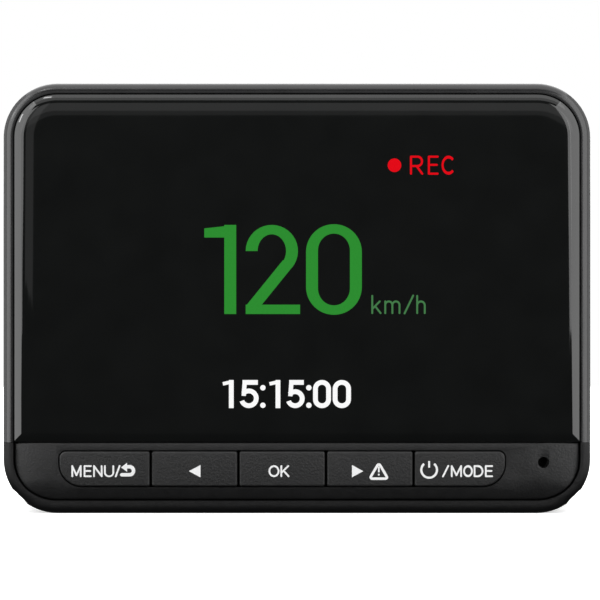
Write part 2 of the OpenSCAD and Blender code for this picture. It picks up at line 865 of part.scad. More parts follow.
// The cast horn: a flare from the waveguide's throat to the mouth, on a square foot.
module horn_antenna() {
  foot = 1.5;
  foot_w = 22;
  foot_h = 14;
  throat_w = 12;
  throat_h = 6;
  color("#b7b2a2") stand() difference() {
    union() {
      hull() {
        horn_section(throat_w + 2 * horn_wall, throat_h + 2 * horn_wall, horn_f0 + foot);
        horn_section(horn_w, horn_h, horn_f1 - skin);
      }
      block(horn_x - foot_w / 2, road_y - foot_h / 2, horn_f0,
        horn_x + foot_w / 2, road_y + foot_h / 2, horn_f0 + foot + weld);
    }
    hull() {
      horn_section(throat_w, throat_h, horn_f0 - over);
      horn_section(horn_w - 2 * horn_wall, horn_h - 2 * horn_wall, horn_f1 + 0.1);
    }
  }
}

module radar_board() {
  color("#0f6b52") stand() block(radar_x - radar_board_w / 2, road_y - radar_board_h / 2, horn_f0 - radar_board_t,
    radar_x + radar_board_w / 2, road_y + radar_board_h / 2, horn_f0);
}

// The pressed can over the radar's mixer, open towards its board.
module radar_shield() {
  t = 0.3;
  half = 12;
  y0 = road_y - 6;
  y1 = road_y + 10;
  f1 = horn_f0 - radar_board_t;
  f0 = f1 - 2.6;
  color("#c3c6c9") stand() difference() {
    block(radar_x - half, y0, f0, radar_x + half, y1, f1);
    block(radar_x - half + t, y0 + t, f0 + t, radar_x + half - t, y1 - t, f1 + over);
  }
}

// The pin strip between the radar board and the main board.
module radar_header() {
  y = road_y - radar_board_h / 2 + 2;
  color("#1d1d1f") stand() block(radar_x - 4, y - 1.25, board_back, radar_x + 10, y + 1.25, horn_f0 - radar_board_t);
}

// ---- Laser sensor ----

module laser_outline(grow) {
  r = 2;
  half_w = laser_w / 2 + grow;
  half_h = laser_h / 2 + grow;
  outline(laser_x - half_w, low_y - half_h, laser_x + half_w, low_y + half_h, [r, r, r, r]);
}

// The dark red window, with the flange that is glued behind the shell's wall.
module laser_window() {
  flange = 0.8;
  color("#3a0a10") stand() {
    slab(road_in - weld, body_d - 0.3) laser_outline(0);
    slab(road_in - flange, road_in) laser_outline(1);
  }
}

module laser_shroud() {
  color("#141516") stand() difference() {
    rod(laser_x, low_y, shroud_r, laser_board_f + small_board_t, road_in - 0.8);
    rod(laser_x, low_y, lens_r, laser_board_f, road_in);
  }
}

module laser_lens() {
  ball = 6;
  rise = ball - sqrt(ball * ball - lens_r * lens_r);
  color("#7d2a35") stand() translate([laser_x, low_y, -(road_in - 5)]) mirror([0, 0, 1]) intersection() {
    cylinder(r = lens_r, h = 1 + rise);
    translate([0, 0, 1 + rise - ball]) sphere(ball);
  }
}

module laser_sensor() {
  f = laser_board_f + small_board_t;
  color("#20242a") stand() rod(laser_x, low_y, 2.5, f, f + 3);
}

module laser_board() {
  f = laser_board_f;
  color("#1c5a34") stand() block(laser_x - 8, low_y - 5.5, f, laser_x + 8, low_y + 5.5, f + small_board_t);
}

// ---- Loudspeaker ----

module speaker_gasket() {
  color("#2b2b2d") stand() difference() {
    rod(speaker_x, low_y, speaker_r, speaker_f1, road_in);
    rod(speaker_x, low_y, speaker_r - 1.4, speaker_f1 - over, road_in + over);
  }
}

// The loudspeaker's pressed basket, a cup with its mouth to the grille.
module speaker_basket() {
  t = 0.7;
  color("#77797c") stand() difference() {
    rod(speaker_x, low_y, speaker_r, speaker_f1 - basket_deep, speaker_f1);
    rod(speaker_x, low_y, speaker_r - t, speaker_f1 - basket_deep + t, speaker_f1 + over);
  }
}

module speaker_cone() {
  rim = speaker_r - 0.8;
  neck = 3;
  deep = 2.4;
  t = 0.35;
  color("#1a1a1a") stand() translate([speaker_x, low_y, -speaker_f1]) difference() {
    cylinder(r1 = rim, r2 = neck, h = deep);
    translate([0, 0, -t]) cylinder(r1 = rim, r2 = neck, h = deep);
  }
}

module speaker_magnet() {
  f1 = speaker_f1 - basket_deep;
  color("#8f9296") stand() rod(speaker_x, low_y, speaker_r * 0.62, f1 - 2.6, f1);
}

// ---- Dock contacts and satellite antenna ----

// Four flat contacts on the dock's floor, which the bracket's pins press on.
module dock_contacts() {
  color("#d8b25a") stand() contact_bars(0.1);
}

// The contacts' shapes, standing out of the dock's floor by rise.
module contact_bars(rise) {
  pitch = 3.4;
  half = 1;
  for (i = [-1.5:1.5])
    block(i * pitch - half, dock_y - 0.6, dock_f0 + 2, i * pitch + half, dock_y + rise, dock_f0 + 7);
}

// The foam tape that holds the antenna under the casing's top.
module gps_tape() {
  color("#4a4a4c") stand()
    block(gps_x - gps_w / 2 + 1, gps_top(), gps_f0 + 1, gps_x + gps_w / 2 - 1, body_h - wall, gps_f0 + gps_w - 1);
}

module gps_antenna() {
  y = gps_top() - gps_t;
  color("#d9cdb0") stand() block(gps_x - gps_w / 2, y, gps_f0, gps_x + gps_w / 2, y + gps_t, gps_f0 + gps_w);
}

module gps_board() {
  t = 0.8;
  rim = 0.4;
  half = gps_w / 2 + rim;
  y = gps_top() - gps_t - t;
  color("#1c5a34") stand() block(gps_x - half, y, gps_f0 - rim, gps_x + half, y + t, gps_f0 + gps_w + rim);
}

function gps_top() = body_h - wall - 1.2;

front_shell();
display_frame();
key_frame();
screen_cover();
cover_tape();
key_panel();
key(0);  // key_menu
key(1);  // key_left
key(2);  // key_ok
key(3);  // key_right
key(4);  // key_mode
plunger(0);  // plunger_menu
plunger(1);  // plunger_left
plunger(2);  // plunger_ok
plunger(3);  // plunger_right
plunger(4);  // plunger_mode
key_switches();
lcd_glass();
lcd_backlight();
lcd_foam();
lcd_flex();
lcd_connector();
main_board();
board_screws();
case_screws();
processor();
memory_chips();
thermal_pad();
heat_sink();
supercapacitors();
card_socket();
memory_card();
usb_socket();
microphone();
microphone_boot();
camera_ring();
camera_glass();
lens_barrel();
lens_elements();
lens_holder();
image_sensor();
camera_board();
camera_flex();
horn_antenna();
radar_board();
radar_shield();
radar_header();
laser_window();
laser_lens();
laser_shroud();
laser_sensor();
laser_board();
speaker_basket();
speaker_cone();
speaker_magnet();
speaker_gasket();
dock_contacts();
gps_tape();
gps_antenna();
gps_board();
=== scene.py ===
"""The look of a windscreen radar detector: polished frame, glossy screen cover, matt key strip, camera."""

from math import atan2, cos, hypot, pi, radians, sin

import bmesh
import bpy
from mathutils import Matrix, Vector


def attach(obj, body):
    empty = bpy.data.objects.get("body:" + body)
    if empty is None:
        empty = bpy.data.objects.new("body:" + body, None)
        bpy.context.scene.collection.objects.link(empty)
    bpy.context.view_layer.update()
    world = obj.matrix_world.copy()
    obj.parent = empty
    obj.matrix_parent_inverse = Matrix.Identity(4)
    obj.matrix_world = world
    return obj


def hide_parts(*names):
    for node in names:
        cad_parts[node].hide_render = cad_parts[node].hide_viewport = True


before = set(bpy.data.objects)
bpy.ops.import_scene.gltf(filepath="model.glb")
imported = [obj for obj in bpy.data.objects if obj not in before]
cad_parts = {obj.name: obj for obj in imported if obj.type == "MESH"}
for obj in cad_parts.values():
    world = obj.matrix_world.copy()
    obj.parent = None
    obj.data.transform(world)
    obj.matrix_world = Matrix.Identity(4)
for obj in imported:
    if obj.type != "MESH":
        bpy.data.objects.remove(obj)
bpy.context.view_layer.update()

MM = 0.001
CASING = "casing"

# Sizes in millimetres, as the solids have them. Depth f is measured from the screen cover's face.
BODY_W, BODY_H, BODY_D = 84.0, 61.5, 34.0
FACE_Y = -19.0
CORNER_R, RIM_W, RIM_R, RIM_DROP = 7.7, 1.5, 1.3, 0.4
SPLIT_F, PLATE_F, PLATE_T = 7.0, 1.7, 1.4
EDGE_IN, SEAM_Z = 1.65, 10.15
COVER_IN, COVER_Z0, COVER_T, BEVEL_D = 1.57, 10.3, 1.5, 0.585
PANEL_H, PANEL_F, PANEL_T = 10.1, 0.5, 1.5
KEY_F, FLANGE_F, FLANGE_T, LOW_PLATE_F, LOW_PLATE_T = 0.2, 2.05, 0.8, 3.4, 1.3
KEY_Z, KEY_H, KEY_R_LOW, KEY_R_TOP, KEY_GAP, KEY_SLIT = 6.4, 5.3, 3.4, 1.1, 0.15, 0.3
KEY_WIDTHS = {"menu": 13.2, "left": 12.5, "ok": 12.5, "right": 12.5, "mode": 13.2}
KEY_ROW_X = -2.1
MIC_X, MIC_Z, MIC_R = 35.2, 7.3, 0.8
BOARD_F, SWITCH_TOP_F, BOSS_END_F = 8.0, 5.6, 12.0
CAMERA_X, ROAD_Z = 19.0, 38.0
# The plates behind the cover and the keys, the screen's opening, and the (x, z) of bosses and board posts.
PLATE_HALF_W, PLATE_FOOT, PLATE_TOP, PLATE_R = 40.4, 1.6, 59.9, 6
SCREEN_HOLE = (-38.2, 34.8, 10.9, 54.7)
BOSS_R, POST_R = 2.2, 1.7
TOP_BOSSES, TOP_POSTS = ((-33, 57.2), (33, 57.2)), ((-12, 56.9), (12, 56.9))
FOOT_BOSSES, FOOT_POSTS = ((-32.8, 4.2), (29.8, 4.2)), ((-20.85, 6.4), (16.65, 6.4))
WELD = 0.2
CORNER_STEPS = 16
# Points within NEAR of a line count as on it, and points within DOUBLE of each other are one.
NEAR, DOUBLE = 0.01, 0.0005


# ---- Shaping ----

def depth(f):
    """The Y of a depth behind the screen cover's face."""
    return FACE_Y + f


def slab(x0, x1, z0, z1, f0, f1, radii=(0, 0, 0, 0), steps=CORNER_STEPS):
    """A block with its corners rounded: bottom left, bottom right, top right, top left."""
    bm = bmesh.new()
    bmesh.ops.create_cube(bm, size=1)
    bmesh.ops.scale(bm, verts=bm.verts, vec=(x1 - x0, f1 - f0, z1 - z0))
    middle = ((x0 + x1) / 2, depth((f0 + f1) / 2), (z0 + z1) / 2)
    bmesh.ops.translate(bm, verts=bm.verts, vec=middle)
    corners = [(x0, z0), (x1, z0), (x1, z1), (x0, z1)]
    for (x, z), r in zip(corners, radii):
        if r > 0:
            corner = [e for e in bm.edges if all(hypot(v.co.x - x, v.co.z - z) < 0.001 for v in e.verts)]
            bevel(bm, corner, r, steps)
    return bm


def bevel(bm, edges, width, steps):
    """Rounds edges."""
    bmesh.ops.bevel(
        bm, geom=edges, offset=width, offset_type="OFFSET", segments=steps, profile=0.5,
        affect="EDGES", clamp_overlap=True, material=-1,
    )


def face_at(bm, f, side):
    """The flat face at a depth: side -1 looks at the driver, 1 at the road."""
    level = [p for p in bm.faces if abs(p.calc_center_median().y - depth(f)) < 0.002]
    found = [p for p in level if p.normal.y * side > 0.99]
    return max(found, key=lambda p: p.calc_area())


def round_front(bm, f, width, steps):
    """Rounds the edge of the front face."""
    bm.normal_update()
    bevel(bm, list(face_at(bm, f, -1).edges), width, steps)


def hollow(bm, f0, f1, front_in, back_in):
    """Opens a slab from front to back, leaving a wall."""
    loops = []
    bm.normal_update()
    for f, side, thickness in ((f0, -1, front_in), (f1, 1, back_in)):
        lid = face_at(bm, f, side)
        bmesh.ops.inset_region(bm, faces=[lid], thickness=thickness, use_even_offset=True)
        loops += list(lid.edges)
        bmesh.ops.delete(bm, geom=[lid], context="FACES_ONLY")
    bmesh.ops.bridge_loops(bm, edges=loops)


def add(bm, *others):
    """Puts other shapes into bm."""
    for other in others:
        spare = bpy.data.meshes.new("spare")
        other.to_mesh(spare)
        bm.from_mesh(spare)
        bpy.data.meshes.remove(spare)
        other.free()
    return bm


def cut_at(bm, z, keep_above):
    """Cuts a shape level at z, keeps one side and closes the cut."""
    cut = bmesh.ops.bisect_plane(
        bm, geom=bm.verts[:] + bm.edges[:] + bm.faces[:], dist=1e-5, plane_co=(0, 0, z), plane_no=(0, 0, 1),
        clear_inner=keep_above, clear_outer=not keep_above,
    )
    edges = [g for g in cut["geom_cut"] if isinstance(g, bmesh.types.BMEdge)]
    bmesh.ops.edgeloop_fill(bm, edges=edges)


def rod(x, z, r, f0, f1, steps=32):
    """A round bar along the depth."""
    bm = bmesh.new()
    turn = Matrix.Rotation(radians(90), 4, "X")
    bmesh.ops.create_cone(
        bm, cap_ends=True, segments=steps, radius1=r, radius2=r, depth=f1 - f0, matrix=turn,
    )
    bmesh.ops.translate(bm, verts=bm.verts, vec=(x, depth((f0 + f1) / 2), z))
    return bm


def lathe(x, z, profile, steps):
    """Turns a line of (radius, depth) points round an axis along the depth. Points on the axis close it."""
    bm = bmesh.new()
    line = [bm.verts.new((x + r, depth(f), z)) for r, f in profile]
    edges = [bm.edges.new(pair) for pair in zip(line, line[1:])]
    bmesh.ops.spin(
        bm, geom=line + edges, cent=(x, 0, z), axis=(0, 1, 0), angle=2 * pi, steps=steps, use_merge=True,
    )
    bmesh.ops.remove_doubles(bm, verts=bm.verts, dist=DOUBLE)
    bmesh.ops.recalc_face_normals(bm, faces=bm.faces)
    return bm


def piece(name, bm, body, material, stands_for=(), smooth=30, flat_above=None):
    """Makes a shape an object that rides on a body."""
    bmesh.ops.scale(bm, verts=bm.verts, vec=(MM, MM, MM))
    mesh = bpy.data.meshes.new(name)
    bm.to_mesh(mesh)
    bm.free()
    mesh.materials.append(material)
    mesh.shade_smooth()
    mesh.set_sharp_from_angle(angle=radians(smooth))
    for face in mesh.polygons:
        if flat_above and face.area > flat_above * MM * MM:
            face.use_smooth = False
    obj = bpy.data.objects.new(name, mesh)
    bpy.context.scene.collection.objects.link(obj)
    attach(obj, body)
    if stands_for:
        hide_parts(*stands_for)
    return obj


def cut_with(bm, *cutters, operation="DIFFERENCE", overlapping=False):
    """Takes cutters out of a shape, or joins them to it."""
    spare = bpy.data.meshes.new("spare")
    bm.to_mesh(spare)
    bm.free()
    body = bpy.data.objects.new("spare", spare)
    bpy.context.scene.collection.objects.link(body)
    tools = []
    for cutter in cutters:
        shape = bpy.data.meshes.new("cutter")
        cutter.to_mesh(shape)
        cutter.free()
        tool = bpy.data.objects.new("cutter", shape)
        bpy.context.scene.collection.objects.link(tool)
        tools.append(tool)
        trim = body.modifiers.new("trim", "BOOLEAN")
        trim.object = tool
        trim.operation = operation
        trim.solver = "EXACT"
        trim.use_self = overlapping
    bpy.context.view_layer.update()
    done = bpy.data.meshes.new_from_object(body.evaluated_get(bpy.context.evaluated_depsgraph_get()))
    out = bmesh.new()
    out.from_mesh(done)
    for obj in [body] + tools:
        shape = obj.data
        bpy.data.objects.remove(obj)
        bpy.data.meshes.remove(shape)
    bpy.data.meshes.remove(done)
    return out


def softened(node, width):
    """A copy of a CAD node with its doubles merged, its flat faces joined and its sharp edges softened."""
    bm = bmesh.new()
    bm.from_mesh(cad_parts[node].data)
    bmesh.ops.scale(bm, verts=bm.verts, vec=(1 / MM, 1 / MM, 1 / MM))
    bmesh.ops.remove_doubles(bm, verts=bm.verts, dist=DOUBLE)
    bmesh.ops.dissolve_limit(bm, angle_limit=radians(0.5), verts=bm.verts, edges=bm.edges)
    bm.normal_update()
    folds = [e for e in bm.edges if len(e.link_faces) == 2]
    bevel(bm, [e for e in folds if e.calc_face_angle() > radians(35)], width, 2)
    return bm


# ---- Materials ----

def new_material(name):
    """An empty material, with its nodes and its shader."""
    mat = bpy.data.materials.new(name)
    mat.use_nodes = True
    tree = mat.node_tree
    return mat, tree, tree.nodes["Principled BSDF"]


def noise(tree, size, detail=3.0, stretch=(1, 1, 1)):
    """Noise in Object coordinates, with features about size millimetres across."""
    where = tree.nodes.new("ShaderNodeTexCoord")
    mapping = tree.nodes.new("ShaderNodeMapping")
    mapping.inputs["Scale"].default_value = stretch
    tex = tree.nodes.new("ShaderNodeTexNoise")
    tex.inputs["Scale"].default_value = 1 / (size * MM)
    tex.inputs["Detail"].default_value = detail
    tree.links.new(where.outputs["Object"], mapping.inputs["Vector"])
    tree.links.new(mapping.outputs["Vector"], tex.inputs["Vector"])
    return tex.outputs["Fac"]


def ramp(tree, value, low, high, dark, light):
    """Turns a value into a colour between two colours, over the stretch from low to high."""
    node = tree.nodes.new("ShaderNodeValToRGB")
    node.color_ramp.elements[0].position = low
    node.color_ramp.elements[1].position = high
    node.color_ramp.elements[0].color = (*dark, 1)
    node.color_ramp.elements[1].color = (*light, 1)
    tree.links.new(value, node.inputs["Fac"])
    return node.outputs["Color"]


def spread(tree, value, low, high):
    """Stretches a value of 0.35 to 0.65 over the range from low to high."""
    node = tree.nodes.new("ShaderNodeMapRange")
    node.inputs["From Min"].default_value = 0.35
    node.inputs["From Max"].default_value = 0.65
    node.inputs["To Min"].default_value = low
    node.inputs["To Max"].default_value = high
    tree.links.new(value, node.inputs["Value"])
    return node.outputs["Result"]


def bump(tree, shader, height, depth_mm):
    """Relief in a material, from a height and how deep it goes."""
    node = tree.nodes.new("ShaderNodeBump")
    node.inputs["Strength"].default_value = 1.0
    node.inputs["Distance"].default_value = depth_mm * MM
    tree.links.new(height, node.inputs["Height"])
    tree.links.new(node.outputs["Normal"], shader.inputs["Normal"])


def scaled(colour, k):
    """A colour made darker or lighter."""
    return tuple(c * k for c in colour)


def moulded(name, colour, rough, grain, grain_depth, vary=0.12, specular=0.5):
    """Moulded plastic: a fine grain in relief, and a slow drift of shade and sheen."""
    mat, tree, shader = new_material(name)
    slow = noise(tree, 9.0, 2.0)
    tone = ramp(tree, slow, 0.35, 0.65, scaled(colour, 1 - vary), scaled(colour, 1 + vary))
    tree.links.new(tone, shader.inputs["Base Color"])
    sheen = spread(tree, noise(tree, grain * 3, 4.0), rough - 0.05, rough + 0.05)
    tree.links.new(sheen, shader.inputs["Roughness"])
    shader.inputs["Specular IOR Level"].default_value = specular
    bump(tree, shader, noise(tree, grain, 2.0), grain_depth)
    return mat


def polished(name, colour, rough, coat=0.0, peel=0.0006):
    """Polished plastic: nearly mirror smooth, with faint orange peel and handling marks."""
    mat, tree, shader = new_material(name)
    marks = noise(tree, 6.0, 6.0)
    tone = ramp(tree, marks, 0.3, 0.7, scaled(colour, 0.85), scaled(colour, 1.15))
    tree.links.new(tone, shader.inputs["Base Color"])
    tree.links.new(spread(tree, marks, rough * 0.9, rough * 1.15), shader.inputs["Roughness"])
    shader.inputs["Coat Weight"].default_value = coat
    shader.inputs["Coat Roughness"].default_value = 0.03
    bump(tree, shader, noise(tree, 2.5, 1.0), peel)
    return mat


def metal(name, colour, rough, grain, stretch=(1, 1, 1)):
    """Metal with fine rolling or turning marks."""
    mat, tree, shader = new_material(name)
    marks = noise(tree, grain, 3.0, stretch)
    tone = ramp(tree, marks, 0.3, 0.7, scaled(colour, 0.8), scaled(colour, 1.1))
    tree.links.new(tone, shader.inputs["Base Color"])
    tree.links.new(spread(tree, marks, rough - 0.08, rough + 0.1), shader.inputs["Roughness"])
    shader.inputs["Metallic"].default_value = 1.0
    bump(tree, shader, marks, 0.004)
    return mat


def clear_glass(name, colour):
    """Clear glass with faint wiping marks."""
    mat, tree, shader = new_material(name)
    rough = 0.02
    marks = noise(tree, 4.0, 5.0)
    tree.links.new(spread(tree, marks, rough, rough * 2), shader.inputs["Roughness"])
    tree.links.new(ramp(tree, marks, 0.3, 0.7, scaled(colour, 0.95), colour), shader.inputs["Base Color"])
    shader.inputs["IOR"].default_value = 1.5
    shader.inputs["Transmission Weight"].default_value = 1.0
    return mat


def circuit(name, colour):
    """Circuit board: solder mask with lighter tracks in a fine mesh."""
    mat, tree, shader = new_material(name)
    where = tree.nodes.new("ShaderNodeTexCoord")
    tracks = tree.nodes.new("ShaderNodeTexVoronoi")
    tracks.distance = "MANHATTAN"
    tracks.inputs["Scale"].default_value = 1 / (1.6 * MM)
    tree.links.new(where.outputs["Object"], tracks.inputs["Vector"])
    tone = ramp(tree, tracks.outputs["Distance"], 0.30, 0.36, colour, scaled(colour, 1.9))
    tree.links.new(tone, shader.inputs["Base Color"])
    tree.links.new(spread(tree, noise(tree, 1.0), 0.3, 0.4), shader.inputs["Roughness"])
    bump(tree, shader, tracks.outputs["Distance"], 0.03)
    return mat


def lit(name, colour, strength):
    """A lit part of the screen's picture, with the screen's faint dot grain."""
    mat, tree, shader = new_material(name)
    tone = ramp(tree, noise(tree, 0.15, 1.0), 0.3, 0.7, scaled(colour, 0.92), colour)
    shader.inputs["Base Color"].default_value = (0.0, 0.0, 0.0, 1)
    shader.inputs["Roughness"].default_value = 0.3
    shader.inputs["Specular IOR Level"].default_value = 0.0
    tree.links.new(tone, shader.inputs["Emission Color"])
    shader.inputs["Emission Strength"].default_value = strength
    return mat


# Finishes, named for the parts that have them.
GLOSS = polished("gloss_black", (0.008, 0.008, 0.0084), 0.2)
COVER = polished("cover_black", (0.0042, 0.0045, 0.0043), 0.045, peel=0.0002)
STRIP = moulded("strip_black", (0.0075, 0.0075, 0.0077), 0.5, 0.3, 0.04, specular=0.36)
KEYS = moulded("key_black", (0.007, 0.007, 0.0072), 0.55, 0.3, 0.07, specular=0.38)
TRIM = moulded("trim_black", (0.004, 0.004, 0.0041), 0.5, 0.22, 0.03, specular=0.24)
SHELL = moulded("shell_black", (0.014, 0.014, 0.0145), 0.45, 0.4, 0.06)
BLACK = moulded("inner_black", (0.02, 0.02, 0.021), 0.5, 0.4, 0.02)
FOAM = moulded("foam_grey", (0.03, 0.03, 0.031), 0.9, 0.25, 0.06)
RUBBER = moulded("rubber_black", (0.012, 0.012, 0.012), 0.7, 0.3, 0.02)
NYLON = moulded("nylon_cream", (0.62, 0.58, 0.47), 0.5, 0.4, 0.01)
CERAMIC = moulded("ceramic_tan", (0.55, 0.46, 0.33), 0.6, 0.3, 0.02)
SLEEVE = moulded("sleeve_blue", (0.02, 0.05, 0.2), 0.3, 0.8, 0.01)
FILM = moulded("cable_amber", (0.42, 0.17, 0.03), 0.35, 0.8, 0.005)
CONE = moulded("cone_black", (0.018, 0.018, 0.018), 0.8, 0.4, 0.08)
LASER = polished("laser_red", (0.05, 0.002, 0.004), 0.08, coat=0.5)
PANEL_GLASS = polished("screen_dark", (0.006, 0.007, 0.0065), 0.1)
STEEL = metal("tinned_steel", (0.4, 0.4, 0.41), 0.3, 0.5, (0.1, 1, 1))
DARK_STEEL = metal("screw_steel", (0.32, 0.32, 0.33), 0.35, 0.3)
ALUMINIUM = metal("aluminium", (0.66, 0.66, 0.68), 0.35, 0.4, (1, 1, 0.1))
CAST = metal("cast_alloy", (0.5, 0.49, 0.46), 0.5, 0.5)
GOLD = metal("gold_plate", (0.85, 0.6, 0.22), 0.25, 0.4)
LENS = clear_glass("lens_glass", (0.75, 0.85, 0.95))
BOARD = circuit("board_green", (0.012, 0.07, 0.03))
PRINT = moulded("print_white", (0.68, 0.68, 0.68), 0.6, 0.2, 0.005, vary=0.03)
GREEN = lit("digit_green", (0.028, 0.27, 0.032), 1.0)
RED = lit("mark_red", (0.79, 0.004, 0.01), 1.0)
DIM_GREEN = lit("unit_green", (0.06, 0.2, 0.07), 1.0)
WHITE = lit("clock_white", (1.0, 1.0, 1.0), 1.0)

NODE_MATERIALS = {
    "front_shell": SHELL, "cover_tape": FOAM, "gps_tape": FOAM, "lcd_foam": FOAM, "speaker_gasket": FOAM,
    "thermal_pad": FOAM, "microphone_boot": RUBBER, "lcd_glass": PANEL_GLASS, "lcd_backlight": STEEL,
    "lens_elements": LENS, "main_board": BOARD, "camera_board": BOARD, "radar_board": BOARD,
    "laser_board": BOARD, "gps_board": BOARD, "lcd_flex": FILM, "camera_flex": FILM, "lcd_connector": NYLON,
    "radar_header": BLACK, "processor": BLACK, "memory_chips": BLACK, "laser_sensor": BLACK,
    "image_sensor": PANEL_GLASS, "memory_card": BLACK, "lens_barrel": BLACK, "lens_holder": BLACK,
    "laser_shroud": BLACK, "heat_sink": ALUMINIUM, "supercapacitors": SLEEVE, "card_socket": STEEL,
    "usb_socket": STEEL, "key_switches": STEEL, "case_screws": DARK_STEEL, "board_screws": DARK_STEEL,
    "microphone": ALUMINIUM, "horn_antenna": CAST, "radar_shield": STEEL, "laser_window": LASER,
    "laser_lens": LASER, "speaker_basket": STEEL, "speaker_cone": CONE, "speaker_magnet": STEEL,
    "dock_contacts": GOLD, "gps_antenna": CERAMIC,
}
for key in KEY_WIDTHS:
    NODE_MATERIALS["plunger_" + key] = NYLON
for node, material in NODE_MATERIALS.items():
    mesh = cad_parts[node].data
    mesh.materials.clear()
    mesh.materials.append(material)


# ---- Frame, cover and key strip ----

def rim_ring():
    """The casing's wall on the display side, its outer edge rounded."""
    r = (CORNER_R,) * 4
    bm = slab(-BODY_W / 2, BODY_W / 2, 0, BODY_H, RIM_DROP, SPLIT_F, r)
    round_front(bm, RIM_DROP, RIM_R, 10)
    hollow(bm, RIM_DROP, SPLIT_F, RIM_W - RIM_R, RIM_W)
    return bm


def widen_foot(bm, inset):
    """Raises the foot of an outline that lies inset from the casing's, so that the rim is wider below."""
    corner = CORNER_R - inset
    for v in bm.verts:
        inside = abs(v.co.x) < BODY_W / 2 - inset + NEAR and v.co.z > inset - NEAR
        if inside and v.co.z < inset + corner:
            v.co.z += FOOT_LIFT * (1 - (v.co.z - inset) / corner)


def add_bosses(bm, plate_back, bosses, posts):
    """Adds the case screws' bosses and the board's posts behind a plate."""
    for x, z in bosses:
        add(bm, rod(x, z, BOSS_R, plate_back - WELD, BOSS_END_F))
    for x, z in posts:
        add(bm, rod(x, z, POST_R, plate_back - WELD, BOARD_F))


SEAM_GAP, FOOT_LIFT = 0.06, 0.3
plate_back = PLATE_F + PLATE_T
frame_top = rim_ring()
cut_at(frame_top, SEAM_Z + SEAM_GAP / 2, True)
plate = slab(
    -PLATE_HALF_W, PLATE_HALF_W, SEAM_Z, PLATE_TOP, PLATE_F, plate_back, (0, 0, PLATE_R, PLATE_R),
)
add(frame_top, cut_with(plate, slab(*SCREEN_HOLE, PLATE_F - 1, plate_back + 1)))
add_bosses(frame_top, plate_back, TOP_BOSSES, TOP_POSTS)
piece(
    "frame_top", frame_top, CASING, GLOSS, ["display_frame"], flat_above=60,
)

low_plate_back = LOW_PLATE_F + LOW_PLATE_T
frame_foot = rim_ring()
widen_foot(frame_foot, RIM_W)
cut_at(frame_foot, SEAM_Z - SEAM_GAP / 2, False)
low_plate = slab(
    -PLATE_HALF_W, PLATE_HALF_W, PLATE_FOOT, SEAM_Z, LOW_PLATE_F, low_plate_back, (PLATE_R, PLATE_R, 0, 0),
)
add(frame_foot, low_plate)
add_bosses(frame_foot, low_plate_back, FOOT_BOSSES, FOOT_POSTS)
piece(
    "frame_foot", frame_foot, CASING, TRIM, ["key_frame"], flat_above=60,
)

# The screen cover: a polished bevel all round, then a face that eases level over a few millimetres.
cover_r = CORNER_R - COVER_IN
cover = slab(
    -BODY_W / 2 + COVER_IN, BODY_W / 2 - COVER_IN, COVER_Z0, BODY_H - COVER_IN, BEVEL_D, COVER_T,
    (0, 0, cover_r, cover_r),
)
cover.normal_update()
lid = face_at(cover, BEVEL_D, -1)
# Width of each step inwards, and how far behind the face its inner line lies.
EASES = (
    (0.35, 0.393), (0.65, 0.16), (0.3, 0.101), (0.6, 0.057), (0.6, 0.026), (0.6, 0.009), (0.8, 0.0),
)
for width, drop in EASES:
    bmesh.ops.inset_region(cover, faces=[lid], thickness=width, use_even_offset=True)
    for v in lid.verts:
        v.co.y = depth(drop)
piece("cover", cover, CASING, COVER, ["screen_cover"], smooth=15)

# The key strip: its foot and its ends curve back, and its edges are softly rounded.
FOOT_BEND, FOOT_BEND_Z = 1.2, 5.4
END_BEND, END_BEND_X = 0.55, 34.5
STRIP_TOP_R, STRIP_EDGE, POCKET_EDGE = 0.25, 0.2, 0.12
# Lines cut into the strip so that it can bend, and how near the last ones come to its ends and its foot.
CUTS, LAST_END_CUT, LAST_FOOT_CUT = 8, 0.4, 0.3


def strip_drop(x, z):
    """How far the strip's face lies back at a place."""
    foot = FOOT_BEND * (max(0, FOOT_BEND_Z - z) / (FOOT_BEND_Z - EDGE_IN)) ** 2
    end = END_BEND * (max(0, abs(x) - END_BEND_X) / (BODY_W / 2 - EDGE_IN - END_BEND_X)) ** 2.5
    return hypot(foot, end)


def slice_shape(bm, plane_co, plane_no):
    """Adds a line round a shape where a plane crosses it."""
    every = bm.verts[:] + bm.edges[:] + bm.faces[:]
    bmesh.ops.bisect_plane(bm, geom=every, dist=1e-5, plane_co=plane_co, plane_no=plane_no)


half = BODY_W / 2 - EDGE_IN
inner_r = CORNER_R - EDGE_IN
strip_radii = (inner_r, inner_r, STRIP_TOP_R, STRIP_TOP_R)
strip = slab(-half, half, EDGE_IN, PANEL_H, PANEL_F, PANEL_F + PANEL_T, strip_radii)
widen_foot(strip, EDGE_IN)
round_front(strip, PANEL_F, STRIP_EDGE, 3)
for step in range(CUTS):
    part = step / (CUTS - 1)
    for side in (-1, 1):
        x = side * (END_BEND_X + part * (half - LAST_END_CUT - END_BEND_X))
        slice_shape(strip, (x, 0, 0), (1, 0, 0))
    z = FOOT_BEND_Z - part * (FOOT_BEND_Z - EDGE_IN - LAST_FOOT_CUT)
    slice_shape(strip, (0, 0, z), (0, 0, 1))
for v in strip.verts:
    if v.co.y < depth(PANEL_F + STRIP_EDGE + 0.05):
        v.co.y += strip_drop(v.co.x, v.co.z)
row_w = sum(KEY_WIDTHS.values())
row_x0 = KEY_ROW_X - row_w / 2
pocket_radii = (KEY_R_LOW, KEY_R_LOW, KEY_R_TOP, KEY_R_TOP)
key_foot, key_top = KEY_Z - KEY_H / 2, KEY_Z + KEY_H / 2
pocket = slab(row_x0, row_x0 + row_w, key_foot, key_top, -1, PANEL_F + PANEL_T + 1, pocket_radii)
strip = cut_with(strip, pocket, rod(MIC_X, MIC_Z, MIC_R, -1, 4))
strip.normal_update()


